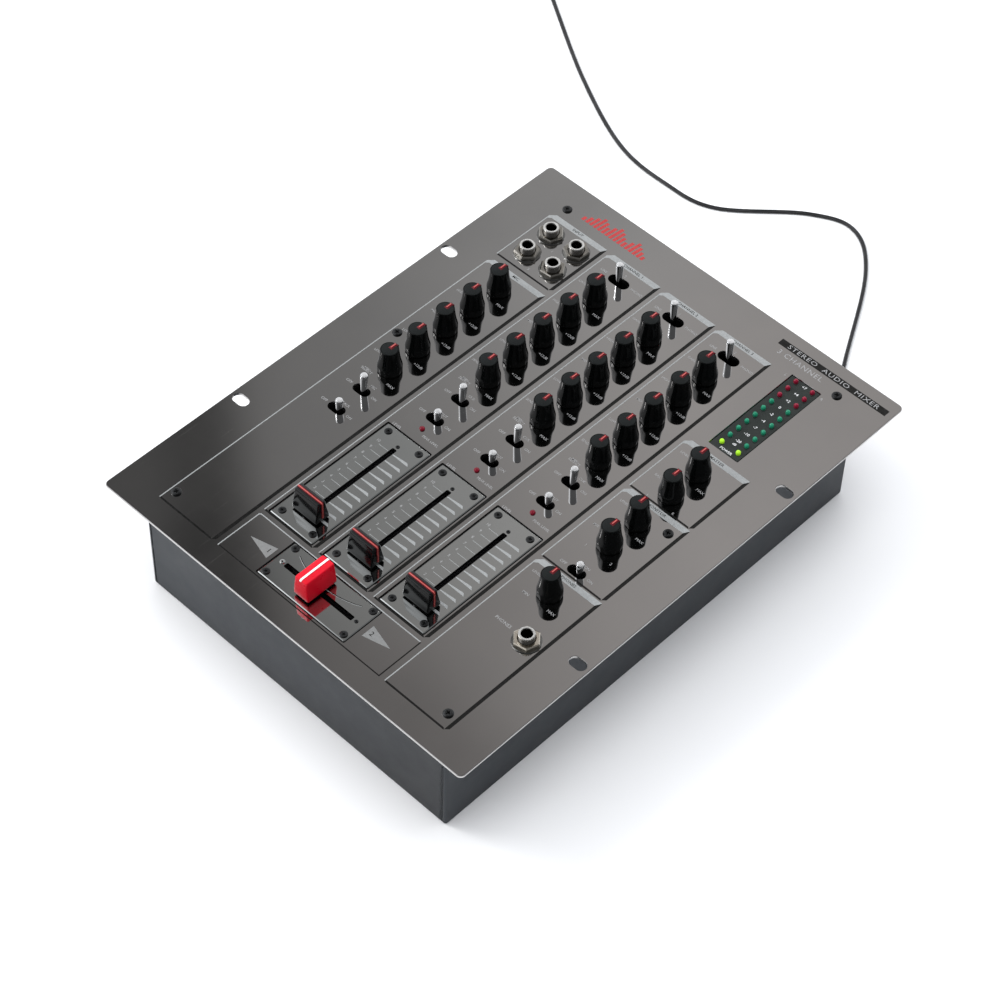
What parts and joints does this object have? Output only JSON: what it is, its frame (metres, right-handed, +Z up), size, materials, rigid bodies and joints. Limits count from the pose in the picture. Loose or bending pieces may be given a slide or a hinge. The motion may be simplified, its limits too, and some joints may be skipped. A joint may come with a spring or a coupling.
{
  "type": "dj mixer",
  "caption": "Rack-ear DJ mixer: mirror-dark panel with rotary knobs, toggle levers, slide faders, a crossfader, jacks and an LED meter on a steel case with a lead.",
  "frame": {"origin": "centre of the steel case's flat bottom face, in the plane the mixer stands on", "axes": "+Z up out of the face panel, +X to the right-hand rack ear, +Y to the rear, so the crossfader side faces -Y"},
  "size_m": [0.4986, 0.5707, 0.0951],
  "materials": {
    "black_chrome": "polished dark nickel plate, mirror-like",
    "plate_metal": "polished dark plate, slightly lighter than the panel",
    "case_paint": "satin blue-black powder coat",
    "zinc_sheet": "zinc-plated steel sheet",
    "knob_plastic": "glossy black moulding",
    "cap_plastic": "glossy black moulding with a red line",
    "red_plastic": "glossy red moulding with a white line",
    "lever_chrome": "bright chrome plate",
    "nickel": "bright nickel plate",
    "circuit_board": "green solder mask",
    "meter_window": "smoked window over lamps",
    "socket_plastic": "moulded black plastic",
    "cord_pvc": "flexible black PVC",
    "screw_black": "black-oxide steel screws",
    "print_light": "light grey screen print",
    "print_dark": "black screen print",
    "lamp_red": "red lamp lens",
    "lamp_green": "green lamp lens"
  },
  "bodies": {
    "mixer_case": {"face_panel": "black_chrome", "chassis_shell": "case_paint", "rear_panel": "case_paint", "sub_frame": "zinc_sheet", "fader_plate_1": "plate_metal", "fader_plate_2": "plate_metal", "fader_plate_3": "plate_metal", "crossfader_plate": "plate_metal", "channel_fader_1": "zinc_sheet", "channel_fader_2": "zinc_sheet", "channel_fader_3": "zinc_sheet", "crossfader_unit": "zinc_sheet", "control_board": "circuit_board", "input_jack_board": "nickel", "phones_jack": "nickel", "led_meter": "meter_window", "power_supply": "circuit_board", "rear_jack_block": "socket_plastic", "power_cord": "cord_pvc"},
    "fader_cap_1": {"fader_cap_1": "cap_plastic"},
    "fader_cap_2": {"fader_cap_2": "cap_plastic"},
    "fader_cap_3": {"fader_cap_3": "cap_plastic"},
    "crossfader_cap": {"crossfader_cap": "red_plastic"},
    "channel_1_input_lever": {"channel_1_input_lever": "lever_chrome"},
    "channel_1_cue_lever": {"channel_1_cue_lever": "lever_chrome"},
    "channel_1_mute_lever": {"channel_1_mute_lever": "lever_chrome"},
    "channel_2_input_lever": {"channel_2_input_lever": "lever_chrome"},
    "channel_2_cue_lever": {"channel_2_cue_lever": "lever_chrome"},
    "channel_2_mute_lever": {"channel_2_mute_lever": "lever_chrome"},
    "channel_3_input_lever": {"channel_3_input_lever": "lever_chrome"},
    "channel_3_cue_lever": {"channel_3_cue_lever": "lever_chrome"},
    "channel_3_mute_lever": {"channel_3_mute_lever": "lever_chrome"},
    "mic_on_lever": {"mic_on_lever": "lever_chrome"},
    "talkover_lever": {"talkover_lever": "lever_chrome"},
    "monitor_lever": {"monitor_lever": "lever_chrome"},
    "channel_1_gain_knob": {"channel_1_gain_knob": "knob_plastic"},
    "channel_1_treble_knob": {"channel_1_treble_knob": "knob_plastic"},
    "channel_1_middle_knob": {"channel_1_middle_knob": "knob_plastic"},
    "channel_1_bass_knob": {"channel_1_bass_knob": "knob_plastic"},
    "channel_1_send_knob": {"channel_1_send_knob": "knob_plastic"},
    "channel_2_gain_knob": {"channel_2_gain_knob": "knob_plastic"},
    "channel_2_treble_knob": {"channel_2_treble_knob": "knob_plastic"},
    "channel_2_middle_knob": {"channel_2_middle_knob": "knob_plastic"},
    "channel_2_bass_knob": {"channel_2_bass_knob": "knob_plastic"},
    "channel_2_send_knob": {"channel_2_send_knob": "knob_plastic"},
    "channel_3_gain_knob": {"channel_3_gain_knob": "knob_plastic"},
    "channel_3_treble_knob": {"channel_3_treble_knob": "knob_plastic"},
    "channel_3_middle_knob": {"channel_3_middle_knob": "knob_plastic"},
    "channel_3_bass_knob": {"channel_3_bass_knob": "knob_plastic"},
    "channel_3_send_knob": {"channel_3_send_knob": "knob_plastic"},
    "mic_gain_knob": {"mic_gain_knob": "knob_plastic"},
    "mic_treble_knob": {"mic_treble_knob": "knob_plastic"},
    "mic_middle_knob": {"mic_middle_knob": "knob_plastic"},
    "mic_bass_knob": {"mic_bass_knob": "knob_plastic"},
    "mic_level_knob": {"mic_level_knob": "knob_plastic"},
    "master_level_knob": {"master_level_knob": "knob_plastic"},
    "balance_knob": {"balance_knob": "knob_plastic"},
    "booth_level_knob": {"booth_level_knob": "knob_plastic"},
    "cue_mix_knob": {"cue_mix_knob": "knob_plastic"},
    "phones_level_knob": {"phones_level_knob": "knob_plastic"}
  },
  "joints": [
    {"name": "channel_1_fader_slide", "type": "slide", "parent": "mixer_case", "child": "fader_cap_1", "axis": [0, 1, 0], "range_m": [0, 0.06]},
    {"name": "channel_2_fader_slide", "type": "slide", "parent": "mixer_case", "child": "fader_cap_2", "axis": [0, 1, 0], "range_m": [0, 0.06]},
    {"name": "channel_3_fader_slide", "type": "slide", "parent": "mixer_case", "child": "fader_cap_3", "axis": [0, 1, 0], "range_m": [0, 0.06]},
    {"name": "crossfader_slide", "type": "slide", "parent": "mixer_case", "child": "crossfader_cap", "axis": [1, 0, 0], "range_m": [-0.0199, 0.0251]},
    {"name": "channel_1_input_switch", "type": "hinge", "parent": "mixer_case", "child": "channel_1_input_lever", "pos_m": [-0.0425, 0.1349, 0.0544], "axis": [0, 1, 0], "range_deg": [-6, 6]},
    {"name": "channel_1_cue_switch", "type": "hinge", "parent": "mixer_case", "child": "channel_1_cue_lever", "pos_m": [-0.0425, 0.0039, 0.0544], "axis": [0, 1, 0], "range_deg": [-7.62, 0]},
    {"name": "channel_1_mute_switch", "type": "hinge", "parent": "mixer_case", "child": "channel_1_mute_lever", "pos_m": [-0.0425, -0.016, 0.0544], "axis": [0, 1, 0], "range_deg": [-8.93, 0]},
    {"name": "channel_2_input_switch", "type": "hinge", "parent": "mixer_case", "child": "channel_2_input_lever", "pos_m": [0, 0.1349, 0.0544], "axis": [0, 1, 0], "range_deg": [-6, 6]},
    {"name": "channel_2_cue_switch", "type": "hinge", "parent": "mixer_case", "child": "channel_2_cue_lever", "pos_m": [0, 0.0039, 0.0544], "axis": [0, 1, 0], "range_deg": [-7.62, 0]},
    {"name": "channel_2_mute_switch", "type": "hinge", "parent": "mixer_case", "child": "channel_2_mute_lever", "pos_m": [0, -0.016, 0.0544], "axis": [0, 1, 0], "range_deg": [-8.93, 0]},
    {"name": "channel_3_input_switch", "type": "hinge", "parent": "mixer_case", "child": "channel_3_input_lever", "pos_m": [0.0425, 0.1349, 0.0544], "axis": [0, 1, 0], "range_deg": [-6, 6]},
    {"name": "channel_3_cue_switch", "type": "hinge", "parent": "mixer_case", "child": "channel_3_cue_lever", "pos_m": [0.0425, 0.0039, 0.0544], "axis": [0, 1, 0], "range_deg": [-7.62, 0]},
    {"name": "channel_3_mute_switch", "type": "hinge", "parent": "mixer_case", "child": "channel_3_mute_lever", "pos_m": [0.0425, -0.016, 0.0544], "axis": [0, 1, 0], "range_deg": [-8.93, 0]},
    {"name": "mic_on_switch", "type": "hinge", "parent": "mixer_case", "child": "mic_on_lever", "pos_m": [-0.087, -0.0297, 0.0544], "axis": [0, 1, 0], "range_deg": [-7.62, 0]},
    {"name": "talkover_switch", "type": "hinge", "parent": "mixer_case", "child": "talkover_lever", "pos_m": [-0.087, -0.0491, 0.0544], "axis": [0, 1, 0], "range_deg": [-8.93, 0]},
    {"name": "monitor_switch", "type": "hinge", "parent": "mixer_case", "child": "monitor_lever", "pos_m": [0.0873, -0.0388, 0.0544], "axis": [0, 1, 0], "range_deg": [-8.93, 0]},
    {"name": "channel_1_gain_turn", "type": "hinge", "parent": "mixer_case", "child": "channel_1_gain_knob", "pos_m": [-0.0425, 0.1145, 0.0774], "axis": [0, 0, 1], "range_deg": [-150, 150]},
    {"name": "channel_1_treble_turn", "type": "hinge", "parent": "mixer_case", "child": "channel_1_treble_knob", "pos_m": [-0.0425, 0.0925, 0.0774], "axis": [0, 0, 1], "range_deg": [-150, 150]},
    {"name": "channel_1_middle_turn", "type": "hinge", "parent": "mixer_case", "child": "channel_1_middle_knob", "pos_m": [-0.0425, 0.0704, 0.0774], "axis": [0, 0, 1], "range_deg": [-150, 150]},
    {"name": "channel_1_bass_turn", "type": "hinge", "parent": "mixer_case", "child": "channel_1_bass_knob", "pos_m": [-0.0425, 0.0484, 0.0774], "axis": [0, 0, 1], "range_deg": [-150, 150]},
    {"name": "channel_1_send_turn", "type": "hinge", "parent": "mixer_case", "child": "channel_1_send_knob", "pos_m": [-0.0425, 0.0263, 0.0774], "axis": [0, 0, 1], "range_deg": [-150, 150]},
    {"name": "channel_2_gain_turn", "type": "hinge", "parent": "mixer_case", "child": "channel_2_gain_knob", "pos_m": [0, 0.1145, 0.0774], "axis": [0, 0, 1], "range_deg": [-150, 150]},
    {"name": "channel_2_treble_turn", "type": "hinge", "parent": "mixer_case", "child": "channel_2_treble_knob", "pos_m": [0, 0.0925, 0.0774], "axis": [0, 0, 1], "range_deg": [-150, 150]},
    {"name": "channel_2_middle_turn", "type": "hinge", "parent": "mixer_case", "child": "channel_2_middle_knob", "pos_m": [0, 0.0704, 0.0774], "axis": [0, 0, 1], "range_deg": [-150, 150]},
    {"name": "channel_2_bass_turn", "type": "hinge", "parent": "mixer_case", "child": "channel_2_bass_knob", "pos_m": [0, 0.0484, 0.0774], "axis": [0, 0, 1], "range_deg": [-150, 150]},
    {"name": "channel_2_send_turn", "type": "hinge", "parent": "mixer_case", "child": "channel_2_send_knob", "pos_m": [0, 0.0263, 0.0774], "axis": [0, 0, 1], "range_deg": [-150, 150]},
    {"name": "channel_3_gain_turn", "type": "hinge", "parent": "mixer_case", "child": "channel_3_gain_knob", "pos_m": [0.0425, 0.1145, 0.0774], "axis": [0, 0, 1], "range_deg": [-150, 150]},
    {"name": "channel_3_treble_turn", "type": "hinge", "parent": "mixer_case", "child": "channel_3_treble_knob", "pos_m": [0.0425, 0.0925, 0.0774], "axis": [0, 0, 1], "range_deg": [-150, 150]},
    {"name": "channel_3_middle_turn", "type": "hinge", "parent": "mixer_case", "child": "channel_3_middle_knob", "pos_m": [0.0425, 0.0704, 0.0774], "axis": [0, 0, 1], "range_deg": [-150, 150]},
    {"name": "channel_3_bass_turn", "type": "hinge", "parent": "mixer_case", "child": "channel_3_bass_knob", "pos_m": [0.0425, 0.0484, 0.0774], "axis": [0, 0, 1], "range_deg": [-150, 150]},
    {"name": "channel_3_send_turn", "type": "hinge", "parent": "mixer_case", "child": "channel_3_send_knob", "pos_m": [0.0425, 0.0263, 0.0774], "axis": [0, 0, 1], "range_deg": [-150, 150]},
    {"name": "mic_gain_turn", "type": "hinge", "parent": "mixer_case", "child": "mic_gain_knob", "pos_m": [-0.087, 0.0808, 0.0774], "axis": [0, 0, 1], "range_deg": [-150, 150]},
    {"name": "mic_treble_turn", "type": "hinge", "parent": "mixer_case", "child": "mic_treble_knob", "pos_m": [-0.087, 0.0587, 0.0774], "axis": [0, 0, 1], "range_deg": [-150, 150]},
    {"name": "mic_middle_turn", "type": "hinge", "parent": "mixer_case", "child": "mic_middle_knob", "pos_m": [-0.087, 0.0368, 0.0774], "axis": [0, 0, 1], "range_deg": [-150, 150]},
    {"name": "mic_bass_turn", "type": "hinge", "parent": "mixer_case", "child": "mic_bass_knob", "pos_m": [-0.087, 0.0146, 0.0774], "axis": [0, 0, 1], "range_deg": [-150, 150]},
    {"name": "mic_level_turn", "type": "hinge", "parent": "mixer_case", "child": "mic_level_knob", "pos_m": [-0.087, -0.0075, 0.0774], "axis": [0, 0, 1], "range_deg": [-150, 150]},
    {"name": "master_level_turn", "type": "hinge", "parent": "mixer_case", "child": "master_level_knob", "pos_m": [0.0873, 0.0587, 0.0774], "axis": [0, 0, 1], "range_deg": [-150, 150]},
    {"name": "balance_turn", "type": "hinge", "parent": "mixer_case", "child": "balance_knob", "pos_m": [0.0873, 0.0365, 0.0774], "axis": [0, 0, 1], "range_deg": [-150, 150]},
    {"name": "booth_level_turn", "type": "hinge", "parent": "mixer_case", "child": "booth_level_knob", "pos_m": [0.0873, 0.0095, 0.0774], "axis": [0, 0, 1], "range_deg": [-150, 150]},
    {"name": "cue_mix_turn", "type": "hinge", "parent": "mixer_case", "child": "cue_mix_knob", "pos_m": [0.0873, -0.013, 0.0774], "axis": [0, 0, 1], "range_deg": [-150, 150]},
    {"name": "phones_level_turn", "type": "hinge", "parent": "mixer_case", "child": "phones_level_knob", "pos_m": [0.0873, -0.0596, 0.0774], "axis": [0, 0, 1], "range_deg": [-150, 150]}
  ]
}
